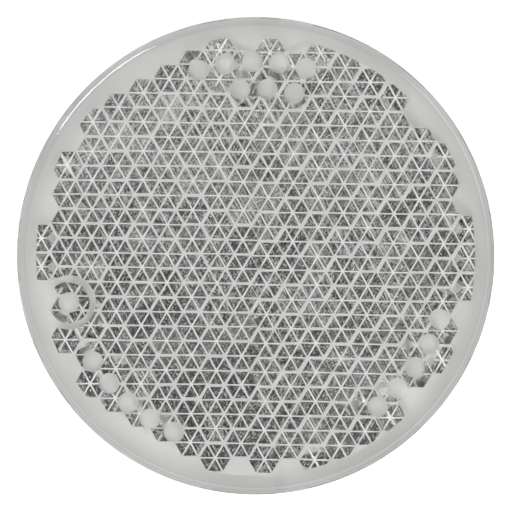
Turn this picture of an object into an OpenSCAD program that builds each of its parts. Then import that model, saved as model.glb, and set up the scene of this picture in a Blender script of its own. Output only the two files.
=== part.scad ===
// Round stick-on reflector. A clear moulded lens carries a field of corner-cube prisms on its back,
// a cover welded to its rim seals them in, and a disc of foam tape under a release liner fixes the whole.
// The axis of the disc is Z, the front face looks up, and the liner's free face lies at z = 0.

/* [Lens] */
// Diameter of the lens over its rim
lens_d = 60; // [50:1:80]
// Thickness of the clear wall in front of the prisms
face_t = 2; // [1.5:0.1:3]
// Width of the solid ring between the prism field and the outside
rim_w = 2.45; // [2:0.05:4]
// Radius of the rounded front edge
edge_r = 1; // [0.4:0.1:1.4]
// How much the radius shrinks from the weld up to the rounded edge
side_draft = 0.12; // [0:0.02:0.3]

/* [Prisms] */
// Distance between the centres of neighbouring prisms
prism_pitch = 3.65; // [3:0.05:4.5]
// Width of the flat land between two prisms
prism_gap = 0.35; // [0.15:0.05:0.45]
// Turn of the whole field about the axis, in degrees
field_turn = -0.7; // [-5:0.1:5]
// How far the field sits above the axis, along Y
field_rise = 0.2; // [0:0.05:0.5]
// How much lower the right half of the field sits than the left half
half_step = 0.15; // [0:0.05:0.5]
// How much closer the two columns at the seam stand than the others
seam_tuck = 0.15; // [0:0.05:0.3]
// Air between the prism tips and the cover
tip_gap = 0.2; // [0.1:0.05:1]

/* [Marking pads] */
// Outer diameter of the ring-shaped pad on the left
ring_d = 6.8; // [5:0.2:8]
// Width of that ring
ring_w = 0.8; // [0.6:0.1:1.2]
// Diameter of the round pads
pad_d = 2.6; // [1.6:0.2:3]
// Distance between neighbouring round pads
pad_pitch = 3.4; // [3.2:0.1:5]
// Distance of the outer rows of pads from the edge of the field
pad_inset = 3.2; // [2.4:0.1:5]

/* [Cover] */
// Thickness of the cover at its rim
cover_t = 1.6; // [1.2:0.1:3]
// How far the cover's edge stands back from the lens's edge
cover_setback = 0.2; // [0.1:0.05:0.5]
// Height of the raised disc that centres the cover in the lens
spigot_h = 0.15; // [0.1:0.05:0.5]
// Gap between that disc and the lens
spigot_gap = 0.15; // [0.05:0.05:0.4]
// Radius of the cover's rounded lower edge
cover_edge_r = 0.5; // [0.2:0.1:0.8]

/* [Foam tape] */
// Thickness of the foam tape
foam_t = 1; // [0.6:0.1:2]
// Distance from the cover's edge to the foam
foam_margin = 3.2; // [2.8:0.1:8]
// Depth of the cover's pocket for the foam
pocket_h = 0.4; // [0.2:0.05:0.5]
// Gap round the foam in its pocket
pocket_gap = 0.3; // [0.1:0.05:0.6]

/* [Release liner] */
// Thickness of the liner
liner_t = 0.15; // [0.1:0.05:0.3]
// Width of the round finger tab
tab_w = 11; // [8:0.5:16]
// How far the tab reaches past the foam
tab_reach = 2.6; // [1.5:0.1:2.7]
// Direction of the tab, in degrees from X
tab_angle = -90; // [-180:5:180]

/* [Hidden] */
$fn = 96;
ARC_STEPS = 8;       // straight steps in a rounded edge
PAD_SIDES = 32;      // sides of a round pad
PAD_OVERRUN = 0.05;  // how much further back a pad reaches than the prism tips

// Directions of the marking pads from the axis, in degrees from X.
TOP_ROW = 91;
SECOND_ROW = 86;
LOWER_LEFT_ROW = 229;
LOWER_RIGHT_ROW = 325;
RING_PLACE = 194;

lens_r = lens_d / 2;
field_r = lens_r - rim_w;
cover_r = lens_r - cover_setback;
foam_r = cover_r - foam_margin;

// A prism is a corner cube behind a hexagon of prism_flats across.
prism_flats = prism_pitch - prism_gap;
prism_corner_r = prism_flats / sqrt(3);
cube_edge = prism_flats / sqrt(2);
prism_h = 2 * cube_edge / sqrt(3);
column_pitch = prism_pitch * sqrt(3) / 2;
columns = ceil(lens_r / column_pitch);
rows = ceil(lens_r / prism_pitch);

// Levels, from the liner's free face up.
z_foam = liner_t;
z_cover = z_foam + foam_t - pocket_h;
z_weld = z_cover + cover_t;
z_tips = z_weld + spigot_h + tip_gap;
z_land = z_tips + prism_h;
z_front = z_land + face_t;
z_root = z_land + face_t / 2;  // where prisms and pads end inside the front wall

// Centres of the prisms of one half: the columns run outward from the seam, and every other one is
// half a pitch up. side is 1 on the right and -1 on the left.
function half_field(side) = [
    for (column = [0 : columns], row = [-rows : rows])
        [side * column_pitch * (column + 0.5) - (side > 0 ? seam_tuck : 0),
         prism_pitch * (row + ((column + (side < 0 ? 1 : 0)) % 2) / 2) - (side > 0 ? half_step : 0)]
];

// A quarter circle about c, from angle a0 to a1.
function quarter(c, r, a0, a1) = [
    for (k = [0 : ARC_STEPS]) let (a = a0 + (a1 - a0) * k / ARC_STEPS) c + r * [cos(a), sin(a)]
];

// Half of the lens's section, from the axis out. The ring reaches back to the weld.
module lens_section() {
    polygon(concat(
        [[0, z_land], [field_r, z_land], [field_r, z_weld], [lens_r, z_weld]],
        quarter([lens_r - side_draft - edge_r, z_front - edge_r], edge_r, 0, 90),
        [[0, z_front]]
    ));
}

// One corner cube with its tip down and its root in the front wall.
module prism() {
    translate([0, 0, z_tips]) intersection() {
        rotate([45, -atan(1 / sqrt(2)), 0]) cube(2 * cube_edge);
        cylinder(r = prism_corner_r, h = z_root - z_tips, $fn = 6);
    }
}

// The two halves of the field, with their prisms turned opposite ways, cut off inside the rim.
module prism_field() {
    intersection() {
        translate([0, field_rise, 0]) rotate(field_turn) for (side = [-1, 1], p = half_field(side))
            if (norm(p) < field_r + prism_corner_r / 2)
                translate([p[0], p[1], 0]) rotate(side > 0 ? 0 : 180) prism();
        cylinder(r = field_r + rim_w / 2, h = z_front);
    }
}

// A clear round pad that takes the place of the prisms behind it.
module marking_pad(d) {
    translate([0, 0, z_tips - PAD_OVERRUN])
        cylinder(d = d, h = z_root - z_tips + PAD_OVERRUN, $fn = PAD_SIDES);
}

// A row of pads on an arc about the axis, centred on the direction middle.
module pad_row(count, middle, inset) {
    r = field_r - inset;
    step = 2 * asin(pad_pitch / 2 / r);
    for (k = [0 : count - 1]) rotate(middle + (k - (count - 1) / 2) * step)
        translate([r, 0, 0]) marking_pad(pad_d);
}

// A ring-shaped pad that touches the rim, with a round pad in its middle.
module ring_pad() {
    rotate(RING_PLACE) translate([field_r - ring_d / 2, 0, 0]) {
        difference() {
            marking_pad(ring_d);
            translate([0, 0, z_weld])
                cylinder(d = ring_d - 2 * ring_w, h = z_land - z_weld, $fn = PAD_SIDES);
        }
        marking_pad(pad_d);
    }
}

module lens() {
    color([0.86, 0.87, 0.86, 0.5]) {
        rotate_extrude() lens_section();
        prism_field();
        pad_row(5, TOP_ROW, pad_inset);
        pad_row(3, SECOND_ROW, pad_inset + pad_pitch);
        pad_row(5, LOWER_LEFT_ROW, pad_inset);
        pad_row(5, LOWER_RIGHT_ROW, pad_inset);
        ring_pad();
    }
}

module back_cover() {
    color([0.78, 0.78, 0.76]) difference() {
        union() {
            rotate_extrude() polygon(concat(
                [[0, z_cover]],
                quarter([cover_r - cover_edge_r, z_cover + cover_edge_r], cover_edge_r, -90, 0),
                [[cover_r, z_weld], [0, z_weld]]
            ));
            translate([0, 0, z_cover + pocket_h])
                cylinder(r = field_r - spigot_gap, h = z_weld + spigot_h - z_cover - pocket_h);
        }
        cylinder(r = foam_r + pocket_gap, h = z_cover + pocket_h);
    }
}

module foam_tape() {
    color([0.93, 0.93, 0.9]) translate([0, 0, z_foam]) cylinder(r = foam_r, h = foam_t);
}

module release_liner() {
    color([0.95, 0.92, 0.8]) {
        cylinder(r = foam_r, h = liner_t);
        rotate(tab_angle) translate([foam_r + tab_reach - tab_w / 2, 0, 0]) cylinder(d = tab_w, h = liner_t);
    }
}

lens();
back_cover();
foam_tape();
release_liner();
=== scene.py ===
import math
import random

import bmesh
import bpy
from mathutils import Matrix, Vector


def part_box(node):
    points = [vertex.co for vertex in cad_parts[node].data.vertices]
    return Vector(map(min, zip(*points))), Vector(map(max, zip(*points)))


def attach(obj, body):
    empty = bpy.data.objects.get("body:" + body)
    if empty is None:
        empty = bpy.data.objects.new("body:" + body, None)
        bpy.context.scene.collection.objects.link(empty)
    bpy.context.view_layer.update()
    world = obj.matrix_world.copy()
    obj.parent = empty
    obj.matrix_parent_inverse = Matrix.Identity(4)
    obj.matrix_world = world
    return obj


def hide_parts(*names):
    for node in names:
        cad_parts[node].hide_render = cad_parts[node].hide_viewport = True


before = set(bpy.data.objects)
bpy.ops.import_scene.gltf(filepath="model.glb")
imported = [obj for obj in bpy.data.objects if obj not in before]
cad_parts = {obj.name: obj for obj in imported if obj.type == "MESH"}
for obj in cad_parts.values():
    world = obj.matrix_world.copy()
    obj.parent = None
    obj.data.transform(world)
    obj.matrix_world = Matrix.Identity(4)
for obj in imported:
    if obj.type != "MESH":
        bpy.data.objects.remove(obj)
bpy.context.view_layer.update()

mm = 0.001
lensLow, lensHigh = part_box("lens")
lensRadius = lensHigh.x
frontLevel = lensHigh.z
weldLevel = lensLow.z
print("frame loaded, lens radius", round(lensRadius / mm, 2), "mm")


# Camera, straight above the front face as in the photo

photo = {
    "pixels": 512,
    "discCentre": (255.7, 255.9),      # where the axis of the disc shows, from the top left corner
    "discRadius": 238.86,              # of the lens's widest edge, at the weld
    "cameraHeight": 2.0,
    "sensor": 36.0,                    # millimetres
    "clip": (0.05, 10),
}
pixel = lensRadius / photo["discRadius"]


def makeCamera():
    data = bpy.data.cameras.new("studioCamera")
    camera = bpy.data.objects.new("studioCamera", data)
    bpy.context.scene.collection.objects.link(camera)
    bpy.context.scene.camera = camera
    data.sensor_width = photo["sensor"]
    distance = photo["cameraHeight"] + frontLevel - weldLevel
    data.lens = photo["sensor"] * distance / (photo["pixels"] * pixel)
    data.clip_start, data.clip_end = photo["clip"]
    middle = photo["pixels"] / 2
    offX = (middle - photo["discCentre"][0]) * pixel
    offY = (photo["discCentre"][1] - middle) * pixel
    camera.location = (offX, offY, frontLevel + photo["cameraHeight"])


makeCamera()
print("camera made, view", round(photo["pixels"] * pixel / mm, 1), "mm wide")


# Helpers for node materials

def newMaterial(name, colour, roughness):
    material = bpy.data.materials.new(name)
    material.use_nodes = True
    tree = material.node_tree
    shader = tree.nodes["Principled BSDF"]
    shader.inputs["Base Color"].default_value = colour
    shader.inputs["Roughness"].default_value = roughness
    return material, tree.nodes, tree.links, shader


def noiseFrom(nodes, links, size, detail=3.0):
    place = nodes.new("ShaderNodeTexCoord")
    noise = nodes.new("ShaderNodeTexNoise")
    noise.inputs["Scale"].default_value = 1 / size
    noise.inputs["Detail"].default_value = detail
    links.new(place.outputs["Object"], noise.inputs["Vector"])
    return noise.outputs["Fac"]


def strokesFrom(nodes, links, direction, width, length):
    # noise drawn out into strokes along a direction in the XY plane
    place = nodes.new("ShaderNodeTexCoord")
    turn = nodes.new("ShaderNodeVectorRotate")
    turn.rotation_type = "Z_AXIS"
    turn.inputs["Angle"].default_value = -math.radians(direction)
    stretch = nodes.new("ShaderNodeVectorMath")
    stretch.operation = "MULTIPLY"
    stretch.inputs[1].default_value = (1 / length, 1 / width, 1 / length)
    noise = nodes.new("ShaderNodeTexNoise")
    noise.inputs["Scale"].default_value = 1
    noise.inputs["Detail"].default_value = 1
    links.new(place.outputs["Object"], turn.inputs["Vector"])
    links.new(turn.outputs["Vector"], stretch.inputs[0])
    links.new(stretch.outputs["Vector"], noise.inputs["Vector"])
    return noise.outputs["Fac"]


def specksFrom(nodes, links, spacing, radius):
    # 1 inside small balls scattered through space, 0 outside
    place = nodes.new("ShaderNodeTexCoord")
    cells = nodes.new("ShaderNodeTexVoronoi")
    cells.inputs["Scale"].default_value = 1 / spacing
    links.new(place.outputs["Object"], cells.inputs["Vector"])
    return calculate(nodes, links, "LESS_THAN", cells.outputs["Distance"], radius / spacing)


def calculate(nodes, links, operation, *terms):
    step = nodes.new("ShaderNodeMath")
    step.operation = operation
    for socket, term in zip(step.inputs, terms):
        if isinstance(term, (int, float)):
            socket.default_value = term
        else:
            links.new(term, socket)
    return step.outputs["Value"]


def rampFrom(nodes, links, value, stops):
    ramp = nodes.new("ShaderNodeValToRGB")
    marks = ramp.color_ramp.elements
    while len(marks) < len(stops):
        marks.new(0.5)
    for mark, (spot, level) in zip(marks, stops):
        mark.position = spot
        mark.color = (level, level, level, 1)
    links.new(value, ramp.inputs["Fac"])
    return ramp.outputs["Color"]


def addBump(nodes, links, shader, height, depth):
    bump = nodes.new("ShaderNodeBump")
    bump.inputs["Distance"].default_value = depth
    links.new(height, bump.inputs["Height"])
    links.new(bump.outputs["Normal"], shader.inputs["Normal"])


# Lens: the front wall and ring are turned, and the prisms stand in columns on the wall's back

lens = {
    "rimWidth": 2.45 * mm,
    "faceThickness": 2.0 * mm,
    "edgeRadius": 1.0 * mm,
    "sideDraft": 0.12 * mm,
    "edgeSteps": 20,
    "turnSteps": 360,
    "supportWidth": 0.08 * mm,         # plain band that keeps the shading of the flat front flat
    "weldGap": 0.01 * mm,
    "discGap": 0.17 * mm,              # from the weld up to the plain posts, clear of the cover's raised disc
    "acrylicIor": 1.49,
    "acrylicTint": (0.985, 0.985, 0.96, 1),
    "edgeShadeTint": (0.79, 0.79, 0.77, 1),  # painted shade: the rounded edge is tinted darker than the front, so it shows darker
    "weldGreyAndShade": ((26.5 * mm, 0.81), (28.0 * mm, 0.72), (29.7 * mm, 0.61)),  # radius and grey; the fall in grey toward the outside is painted shade
    "weldWander": (9 * mm, 0.012),     # size of the unevenness in these tones, and its reach over the radius
    "weldGrain": (0.6 * mm, 0.02 * mm),  # size and depth
    "weldRoughness": 0.7,
    "smoothTo": 20,                    # degrees between faces that still shade as one
    "faceSlack": (0.01 * mm, 0.1 * mm),  # room outward and upward in telling the wall's faces apart
    "edgeSlope": 0.01,                 # a face of the rounded edge looks up by more than this
}
prisms = {
    "pitch": 3.65 * mm,
    "depth": 2.694 * mm,
    "ridgeFlats": (0.18 * mm, 0.22 * mm, 0.22 * mm),  # widths of the worn edges between facets
    "stray": 0.04 * mm,                # how far a prism strays from its place
    "columnStray": 0.04 * mm,
    "spin": 0.5,                       # degrees
    "lean": 0.005,                     # how far the facets are out of square
    "rows": 9,                         # to either side of the middle one
    "pastEdge": 0.4,                   # how far past the ring's inside a centre may lie, in pitches
    "plainFrom": 27.2 * mm,            # prisms centred farther out than this are left as plain posts
    "postOverlap": 0.02 * mm,          # how far neighbouring plain posts reach into one another
    "seed": 7,
    "halves": (
        {"side": -1, "start": (-1.59 * mm, 2.05 * mm), "turn": -0.63, "ridges": 180,
         "gaps": (0.30 * mm, 0.34 * mm, 0.32 * mm)},
        {"side": 1, "start": (1.43 * mm, 0.03 * mm), "turn": -0.81, "ridges": 0,
         "gaps": (0.18 * mm, 0.34 * mm, 0.45 * mm)},
    ),
    "facetWhite": (0.96, 0.96, 0.955, 1),
    # share of the light that a facet scatters, over its unevenness, which holds random tone and the painted
    # shade of shadeAcross and shadeTwist
    "haze": ((0.475, 0.003), (0.565, 0.03), (0.643, 0.18), (0.75, 0.68)),
    "grain": (0.15 * mm, 0.85),        # size, and weight in the unevenness
    "grainDepth": 0.002 * mm,
    "patches": (0.9 * mm, 0.50),
    "clouds": (4.0 * mm, 0.15),
    "shadeAcross": (0.0006, 0.0019),   # painted shade: change per millimetre along X and Y
    "shadeTwist": -0.00009,            # painted shade: change per square millimetre of X times Y
    "strokes": (122, 0.15 * mm, 3.0 * mm, 1.3),  # direction, width, length, weight
    "crossStrokes": (58, 0.15 * mm, 3.0 * mm, 1.0),
    "strokeShare": ((0.42, 0.15), (0.58, 1.0)),  # of the strokes over the cross strokes, by the clouds
    "scratches": ((62, 0.12 * mm, 1.6 * mm), (118, 0.12 * mm, 1.6 * mm)),  # direction, width, length
    "scratchFloor": 0.72,              # where in the noise a scratch starts
    "scratchMirror": 0.15,             # how clear a scratch or speck is
    "specks": (0.85 * mm, 0.11 * mm),  # spacing and radius of the white specks
    "facetSlope": (-0.66, -0.5),       # of a face's normal along Z
    "ridgeSlope": (-0.9, -0.7),
    "landSlope": -0.9,
    "landGrey": (0.70, 0.715, 0.715, 1),
    "ridgeGrey": (0.84, 0.855, 0.86, 1),
    "frostGrain": (0.2 * mm, 0.01 * mm),  # of lands, ridges and pads: size and depth
    "frostRoughness": 0.6,
}
fieldRadius = lensRadius - lens["rimWidth"]
landLevel = frontLevel - lens["faceThickness"]
rootLevel = landLevel + lens["faceThickness"] / 2
tipLevel = landLevel - prisms["depth"]


def clearAcrylic(name, tint):
    material, nodes, links, shader = newMaterial(name, tint, 0.0)
    shader.inputs["Transmission Weight"].default_value = 1
    shader.inputs["IOR"].default_value = lens["acrylicIor"]
    return material


def prismFacet():
    # total reflection inside a prism looks like a mirror from the front, and its haze catches the light
    material, nodes, links, shader = newMaterial("prismFacet", prisms["facetWhite"], 0.0)

    def centred(value, weight):
        return calculate(nodes, links, "MULTIPLY", calculate(nodes, links, "SUBTRACT", value, 0.5), weight)

    grain = noiseFrom(nodes, links, prisms["grain"][0], 2)
    patches = noiseFrom(nodes, links, prisms["patches"][0], 2)
    clouds = noiseFrom(nodes, links, prisms["clouds"][0], 1)
    share = rampFrom(nodes, links, clouds, prisms["strokeShare"])
    crossShare = calculate(nodes, links, "SUBTRACT", 1, share)
    hatching = []
    for strokes, weighed in ((prisms["strokes"], share), (prisms["crossStrokes"], crossShare)):
        direction, width, length, weight = strokes
        lines = centred(strokesFrom(nodes, links, direction, width, length), weight)
        hatching.append(calculate(nodes, links, "MULTIPLY", lines, weighed))
    # painted shade: the haze, and so the field's tone, slopes over X and Y and twists with X times Y
    place = nodes.new("ShaderNodeTexCoord")
    split = nodes.new("ShaderNodeSeparateXYZ")
    links.new(place.outputs["Object"], split.inputs["Vector"])
    x, y = split.outputs["X"], split.outputs["Y"]
    xTimesY = calculate(nodes, links, "MULTIPLY", x, y)
    uneven = 0.5
    for way, change in ((x, prisms["shadeAcross"][0] / mm), (y, prisms["shadeAcross"][1] / mm),
                        (xTimesY, prisms["shadeTwist"] / mm ** 2)):
        uneven = calculate(nodes, links, "MULTIPLY_ADD", way, change, uneven)
    for part in (centred(grain, prisms["grain"][1]), centred(patches, prisms["patches"][1]),
                 centred(clouds, prisms["clouds"][1]), *hatching):
        uneven = calculate(nodes, links, "ADD", uneven, part)
    clear = calculate(nodes, links, "SUBTRACT", 1, rampFrom(nodes, links, uneven, prisms["haze"]))
    marks = specksFrom(nodes, links, *prisms["specks"])
    for direction, width, length in prisms["scratches"]:
        lines = strokesFrom(nodes, links, direction, width, length)
        marks = calculate(nodes, links, "MAXIMUM", marks,
                          calculate(nodes, links, "GREATER_THAN", lines, prisms["scratchFloor"]))
    unmarked = calculate(nodes, links, "MULTIPLY_ADD", marks, prisms["scratchMirror"] - 1, 1)
    links.new(calculate(nodes, links, "MULTIPLY", clear, unmarked), shader.inputs["Metallic"])
    addBump(nodes, links, shader, grain, prisms["grainDepth"])
    return material


def frosted(name, colour):
    material, nodes, links, shader = newMaterial(name, colour, prisms["frostRoughness"])
    size, depth = prisms["frostGrain"]
    addBump(nodes, links, shader, noiseFrom(nodes, links, size), depth)
    return material


def weldFace():
    # light grey, with painted shade that darkens it toward the outside
    material, nodes, links, shader = newMaterial("weldFace", (1, 1, 1, 1), lens["weldRoughness"])
    place = nodes.new("ShaderNodeTexCoord")
    flat = nodes.new("ShaderNodeVectorMath")
    flat.operation = "MULTIPLY"
    flat.inputs[1].default_value = (1, 1, 0)
    length = nodes.new("ShaderNodeVectorMath")
    length.operation = "LENGTH"
    links.new(place.outputs["Object"], flat.inputs[0])
    links.new(flat.outputs["Vector"], length.inputs[0])
    out = calculate(nodes, links, "DIVIDE", length.outputs["Value"], lensRadius)
    size, wander = lens["weldWander"]
    uneven = noiseFrom(nodes, links, size, 2)
    inner = calculate(nodes, links, "SUBTRACT", out, wander / 2)
    out = calculate(nodes, links, "MULTIPLY_ADD", uneven, wander, inner)
    # painted shade: the grey drops with the radius
    tone = rampFrom(nodes, links, out, [(radius / lensRadius, grey) for radius, grey in lens["weldGreyAndShade"]])
    links.new(tone, shader.inputs["Base Color"])
    size, depth = lens["weldGrain"]
    addBump(nodes, links, shader, noiseFrom(nodes, links, size), depth)
    return material


def meshObject(name, points, faces):
    mesh = bpy.data.meshes.new(name)
    mesh.from_pydata(points, [], faces)
    work = bmesh.new()
    work.from_mesh(mesh)
    bmesh.ops.recalc_face_normals(work, faces=work.faces)
    work.to_mesh(mesh)
    work.free()
    thing = bpy.data.objects.new(name, mesh)
    bpy.context.scene.collection.objects.link(thing)
    return thing


def turnedShell(profile, steps, closed=False, centre=(0, 0)):
    points, faces, rings = [], [], []
    for radius, level in profile:
        count = steps if radius > 0 else 1
        rings.append([len(points) + k for k in range(count)])
        for k in range(count):
            angle = 2 * math.pi * k / steps
            points.append((centre[0] + radius * math.cos(angle), centre[1] + radius * math.sin(angle), level))
    follow = rings[1:] + rings[:1] if closed else rings[1:]
    for inner, outer in zip(rings, follow):
        for k in range(steps):
            after = (k + 1) % steps
            corners = [inner[k % len(inner)], outer[k % len(outer)],
                       outer[after % len(outer)], inner[after % len(inner)]]
            faces.append(tuple(dict.fromkeys(corners)))
    return points, faces


def cylinderShell(radius, low, high, steps, centre=(0, 0)):
    return turnedShell([(0, low), (radius, low), (radius, high), (0, high)], steps, centre=centre)


def combine(target, tool, operation):
    change = target.modifiers.new("change", "BOOLEAN")
    change.operation = operation
    change.solver = "MANIFOLD"
    change.object = tool
    graph = bpy.context.evaluated_depsgraph_get()
    made = bpy.data.meshes.new_from_object(target.evaluated_get(graph))
    target.modifiers.clear()
    target.data = made
    bpy.data.objects.remove(tool)


def lensBody():
    top = lensRadius - lens["sideDraft"] - lens["edgeRadius"]
    under = weldLevel + lens["weldGap"]
    profile = [(0, landLevel), (fieldRadius, landLevel), (fieldRadius, under), (lensRadius, under)]
    for k in range(lens["edgeSteps"] + 1):
        angle = math.pi / 2 * k / lens["edgeSteps"]
        profile.append((top + lens["edgeRadius"] * math.cos(angle),
                        frontLevel - lens["edgeRadius"] * (1 - math.sin(angle))))
    profile += [(top - lens["supportWidth"], frontLevel), (0, frontLevel)]
    return meshObject("clear_lens", *turnedShell(profile, lens["turnSteps"]))


def unitPrism(gaps):
    # a hexagonal pin cut to a corner cube with its tip at the origin, and its three ridges cut flat,
    # worked out in millimetres
    work = bmesh.new()
    corner = prisms["pitch"] / math.sqrt(3) / mm
    top = (rootLevel - tipLevel) / mm
    low = -1.0                         # well behind the tip
    bmesh.ops.create_cone(
        work, cap_ends=True, segments=6, radius1=corner, radius2=corner, depth=top - low,
        matrix=Matrix.Translation((0, 0, (top + low) / 2)) @ Matrix.Rotation(math.radians(30), 4, "Z"))
    cuts = []
    for k in range(6):
        side = math.radians(60 * k + 30)
        reach = (prisms["pitch"] - gaps[k % 3]) / 2 / mm
        outward = Vector((math.cos(side), math.sin(side), 0))
        cuts.append((outward * reach, outward))
    for k in range(3):
        ridge = math.radians(120 * k)
        facet = math.radians(120 * k + 60)
        rise = prisms["ridgeFlats"][k] / mm / (4 / math.sqrt(6))
        cuts.append((Vector(), Vector((math.sqrt(2) * math.cos(facet), math.sqrt(2) * math.sin(facet), -1))))
        cuts.append((Vector((0, 0, rise)),
                     Vector((math.cos(ridge) / math.sqrt(2), math.sin(ridge) / math.sqrt(2), -1))))
    for spot, normal in cuts:
        cut = bmesh.ops.bisect_plane(
            work, geom=work.verts[:] + work.edges[:] + work.faces[:], dist=1e-6,
            plane_co=spot, plane_no=normal, clear_outer=True)
        edges = [e for e in cut["geom_cut"] if isinstance(e, bmesh.types.BMEdge)]
        bmesh.ops.contextual_create(work, geom=edges)
    work.verts.index_update()
    points = [v.co * mm for v in work.verts]
    faces = [[v.index for v in f.verts] for f in work.faces]
    work.free()
    return points, faces


def prismPlaces(half):
    # centres of the prisms of one half that the field's circle reaches
    columnPitch = prisms["pitch"] * math.sqrt(3) / 2
    reach = fieldRadius + prisms["pitch"] * prisms["pastEdge"]
    turn = Matrix.Rotation(math.radians(half["turn"]), 2)
    places = []
    for column in range(math.ceil(reach / columnPitch) + 1):
        slip = random.uniform(-1, 1) * prisms["columnStray"]
        for row in range(-prisms["rows"], prisms["rows"] + 1):
            across = half["side"] * columnPitch * column
            along = prisms["pitch"] * (row + column % 2 / 2) + slip
            place = turn @ Vector((across, along)) + Vector(half["start"])
            if place.length < reach:
                places.append(place)
    return places


def prismField():
    points, faces = [], []
    for half in prisms["halves"]:
        unitPoints, unitFaces = unitPrism(half["gaps"])
        for place in prismPlaces(half):
            if place.length > prisms["plainFrom"]:
                continue
            spin = math.radians(half["ridges"] + half["turn"] + random.uniform(-1, 1) * prisms["spin"])
            lean = Matrix([[(i == j) + random.gauss(0, prisms["lean"]) for j in range(3)] for i in range(3)])
            stray = Vector((random.uniform(-1, 1), random.uniform(-1, 1))) * prisms["stray"]
            shape = Matrix.Rotation(spin, 3, "Z") @ lean
            spot = Vector((place.x + stray.x, place.y + stray.y, tipLevel))
            first = len(points)
            points += [shape @ p + spot for p in unitPoints]
            faces += [[first + k for k in f] for f in unitFaces]
    return meshObject("prism_field", points, faces)


def plainPosts():
    # hexagonal posts that carry the solid ring in between the outermost prisms
    posts = meshObject("plain_posts", [], [])
    corner = prisms["pitch"] / math.sqrt(3) + prisms["postOverlap"]
    for half in prisms["halves"]:
        for place in prismPlaces(half):
            if place.length > prisms["plainFrom"]:
                post = cylinderShell(corner, weldLevel + lens["discGap"], rootLevel, 6, place)
                combine(posts, meshObject("post", *post), "UNION")
    return posts


# Marking pads: clear round posts and one ring that stand between the prisms

pads = {
    "diameter": 2.6 * mm,
    "pitch": 3.4 * mm,
    "rows": ((5, 91, 3.2 * mm), (3, 86, 6.6 * mm), (5, 229, 3.2 * mm), (5, 325, 3.2 * mm)),
    "ringDiameter": 6.8 * mm,
    "ringWidth": 0.8 * mm,
    "ringPlace": 194,                  # degrees round from X
    "overrun": 0.05 * mm,
    "sides": 48,
    "faceGrey": (0.86, 0.87, 0.87, 1),
}


def padPosts():
    low = tipLevel - pads["overrun"]
    shells = []
    for count, middle, inset in pads["rows"]:
        radius = fieldRadius - inset
        step = 2 * math.asin(pads["pitch"] / 2 / radius)
        for k in range(count):
            angle = math.radians(middle) + (k - (count - 1) / 2) * step
            centre = (radius * math.cos(angle), radius * math.sin(angle))
            shells.append(cylinderShell(pads["diameter"] / 2, low, rootLevel, pads["sides"], centre))
    outer = pads["ringDiameter"] / 2
    inner = outer - pads["ringWidth"]
    angle = math.radians(pads["ringPlace"])
    centre = ((fieldRadius - outer) * math.cos(angle), (fieldRadius - outer) * math.sin(angle))
    shells.append(cylinderShell(pads["diameter"] / 2, low, rootLevel, pads["sides"], centre))
    ring = [(inner, low), (outer, low), (outer, rootLevel), (inner, rootLevel)]
    shells.append(turnedShell(ring, 2 * pads["sides"], closed=True, centre=centre))
    points, faces = [], []
    for shellPoints, shellFaces in shells:
        first = len(points)
        points += shellPoints
        faces += [[first + k for k in f] for f in shellFaces]
    return meshObject("pad_posts", points, faces)


def finishOf(centre, normal):
    # which finish a face of the lens has, by where it lies and how it slopes
    outwardSlack, upwardSlack = lens["faceSlack"]
    edgeStart = lensRadius - lens["sideDraft"] - lens["edgeRadius"]
    facetLeast, facetMost = prisms["facetSlope"]
    ridgeLeast, ridgeMost = prisms["ridgeSlope"]
    if centre.z < weldLevel + lens["discGap"] + lens["weldGap"]:
        return "weldFace"
    if centre.xy.length > edgeStart and normal.z > lens["edgeSlope"]:
        return "roundedEdge"
    if centre.z > landLevel + upwardSlack or centre.xy.length > fieldRadius + outwardSlack:
        return "clearAcrylic"
    if centre.z < tipLevel - pads["overrun"] / 2 and normal.z < prisms["landSlope"]:
        return "padFace"
    if facetLeast < normal.z < facetMost:
        return "prismFacet"
    if ridgeLeast < normal.z < ridgeMost:
        return "wornRidge"
    if normal.z <= prisms["landSlope"]:
        return "frostedLand"
    return "clearAcrylic"


def makeLens():
    random.seed(prisms["seed"])
    body = lensBody()
    field = prismField()
    middle = fieldRadius + lens["rimWidth"] / 2
    trim = cylinderShell(middle, weldLevel, (rootLevel + frontLevel) / 2, lens["turnSteps"])
    posts = plainPosts()
    combine(posts, meshObject("trim", *trim), "INTERSECT")
    combine(body, posts, "UNION")
    combine(field, meshObject("trim", *trim), "INTERSECT")
    combine(field, padPosts(), "UNION")
    combine(body, field, "UNION")
    finishes = [
        clearAcrylic("clearAcrylic", lens["acrylicTint"]),
        # the rounded edge is the clear acrylic with a darker tint, a painted shade
        clearAcrylic("roundedEdge", lens["edgeShadeTint"]),
        prismFacet(),
        weldFace(),
        frosted("frostedLand", prisms["landGrey"]),
        frosted("wornRidge", prisms["ridgeGrey"]),
        frosted("padFace", pads["faceGrey"]),
    ]
    body.data.materials.clear()
    for material in finishes:
        body.data.materials.append(material)
    names = [material.name for material in finishes]
    for face in body.data.polygons:
        face.material_index = names.index(finishOf(face.center, face.normal))
    body.data.shade_smooth()
    body.data.set_sharp_from_angle(angle=math.radians(lens["smoothTo"]))
    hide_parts("lens")
    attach(body, "root")
    print("lens made,", len(body.data.polygons), "faces")


makeLens()


# Cover, foam tape and liner keep their CAD shapes and get their finishes

# relief: size, detail and depth
cover = {"grey": (0.62, 0.62, 0.60, 1), "roughness": 0.45, "relief": (0.15 * mm, 3, 0.004 * mm)}
tape = {"white": (0.80, 0.80, 0.76, 1), "roughness": 0.85, "relief": (0.25 * mm, 4, 0.06 * mm)}
liner = {"cream": (0.86, 0.82, 0.66, 1), "roughness": 0.4, "relief": (0.4 * mm, 5, 0.004 * mm)}


def reliefFinish(name, colour, roughness, relief):
    material, nodes, links, shader = newMaterial(name, colour, roughness)
    size, detail, depth = relief
    addBump(nodes, links, shader, noiseFrom(nodes, links, size, detail), depth)
    return material


def dress(node, material):
    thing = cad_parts[node]
    thing.data.materials.clear()
    thing.data.materials.append(material)


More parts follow.
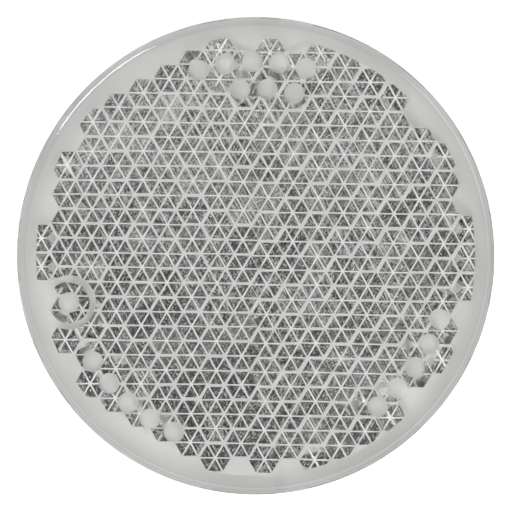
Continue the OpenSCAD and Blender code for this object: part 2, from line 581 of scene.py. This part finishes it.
dress("back_cover", reliefFinish("coverPlastic", cover["grey"], cover["roughness"], cover["relief"]))
dress("foam_tape", reliefFinish("tapeFoam", tape["white"], tape["roughness"], tape["relief"]))
dress("release_liner", reliefFinish("linerPaper", liner["cream"], liner["roughness"], liner["relief"]))
print("cover, foam tape and liner dressed")


# Studio: a white floor, a soft sky that is brightest halfway up, and two panels for the rim

studio = {
    "floorSize": 2.0,
    "floorDrop": 0.05 * mm,            # below the liner
    "floorWhite": (0.92, 0.92, 0.92, 1),
    "floorRoughness": 0.9,
    "floorGlow": 0.55,
    # degrees from straight above, and brightness
    "sky": ((0, 0.025), (2, 0.07), (5, 0.25), (10, 0.75), (16, 1.3),
            (30, 1.9), (46, 1.8), (60, 0.52), (90, 0.50), (180, 0.46)),
    "skyTilt": (0.23, -0.78, 0),       # evens out what the panels add
    "skyTiltWeight": 4,
    "skyTiltPower": 3,                 # of the height above the horizon, so the tilt shows high up
    # direction round from X and from straight above, size round and up, brightness
    "panels": (
        {"name": "rimStrip", "direction": (132, 38), "size": (0.33, 0.19), "glow": 35.0},
        {"name": "softPanel", "direction": (30, 39), "size": (0.42, 0.75), "glow": 3.5},
    ),
    "panelDistance": 1.0,
}


def makeFloor():
    half = studio["floorSize"] / 2
    corners = [(-half, -half, 0), (half, -half, 0), (half, half, 0), (-half, half, 0)]
    floor = meshObject("studioFloor", corners, [(0, 1, 2, 3)])
    floor.location.z = -studio["floorDrop"]
    material, nodes, links, shader = newMaterial("floorWhite", studio["floorWhite"], studio["floorRoughness"])
    shader.inputs["Emission Color"].default_value = (1, 1, 1, 1)
    shader.inputs["Emission Strength"].default_value = studio["floorGlow"]
    floor.data.materials.append(material)
    floor.visible_diffuse = False
    floor.visible_glossy = False
    floor.visible_transmission = False


def makeSky():
    world = bpy.data.worlds.new("studioSky")
    world.use_nodes = True
    bpy.context.scene.world = world
    nodes, links = world.node_tree.nodes, world.node_tree.links
    place = nodes.new("ShaderNodeTexCoord")
    split = nodes.new("ShaderNodeSeparateXYZ")
    links.new(place.outputs["Generated"], split.inputs["Vector"])
    angle = calculate(nodes, links, "ARCCOSINE", split.outputs["Z"])
    share = calculate(nodes, links, "DIVIDE", angle, math.pi)
    brightest = max(level for angle, level in studio["sky"])
    stops = [(angle / 180, level / brightest) for angle, level in studio["sky"]]
    links.new(rampFrom(nodes, links, share, stops), nodes["Background"].inputs["Color"])
    tilt = nodes.new("ShaderNodeVectorMath")
    tilt.operation = "DOT_PRODUCT"
    tilt.inputs[1].default_value = studio["skyTilt"]
    links.new(place.outputs["Generated"], tilt.inputs[0])
    upward = calculate(nodes, links, "MAXIMUM", split.outputs["Z"], 0)
    highUp = calculate(nodes, links, "POWER", upward, studio["skyTiltPower"])
    tilted = calculate(nodes, links, "MULTIPLY", tilt.outputs["Value"], highUp)
    weight = studio["skyTiltWeight"] * brightest
    strength = calculate(nodes, links, "MULTIPLY_ADD", tilted, weight, brightest)
    links.new(strength, nodes["Background"].inputs["Strength"])


def makePanel(name, direction, size, glow):
    # a panel is there for its reflection in the lens, and the camera doesn't see it
    around, down = (math.radians(a) for a in direction)
    toward = Vector((math.cos(around) * math.sin(down), math.sin(around) * math.sin(down), math.cos(down)))
    wide, high = size[0] / 2, size[1] / 2
    corners = [(-wide, -high, 0), (wide, -high, 0), (wide, high, 0), (-wide, high, 0)]
    panel = meshObject(name, corners, [(0, 1, 2, 3)])
    panel.location = toward * studio["panelDistance"]
    panel.rotation_euler = toward.to_track_quat("Z", "Y").to_euler()
    material, nodes, links, shader = newMaterial(name, (0, 0, 0, 1), 1.0)
    shader.inputs["Emission Color"].default_value = (1, 1, 1, 1)
    shader.inputs["Emission Strength"].default_value = glow
    panel.data.materials.append(material)
    panel.visible_camera = False
    panel.visible_diffuse = False
    panel.visible_transmission = False
    panel.visible_shadow = False


makeFloor()
makeSky()
for panel in studio["panels"]:
    makePanel(**panel)
bpy.context.scene.view_settings.view_transform = "Standard"
print("studio made")
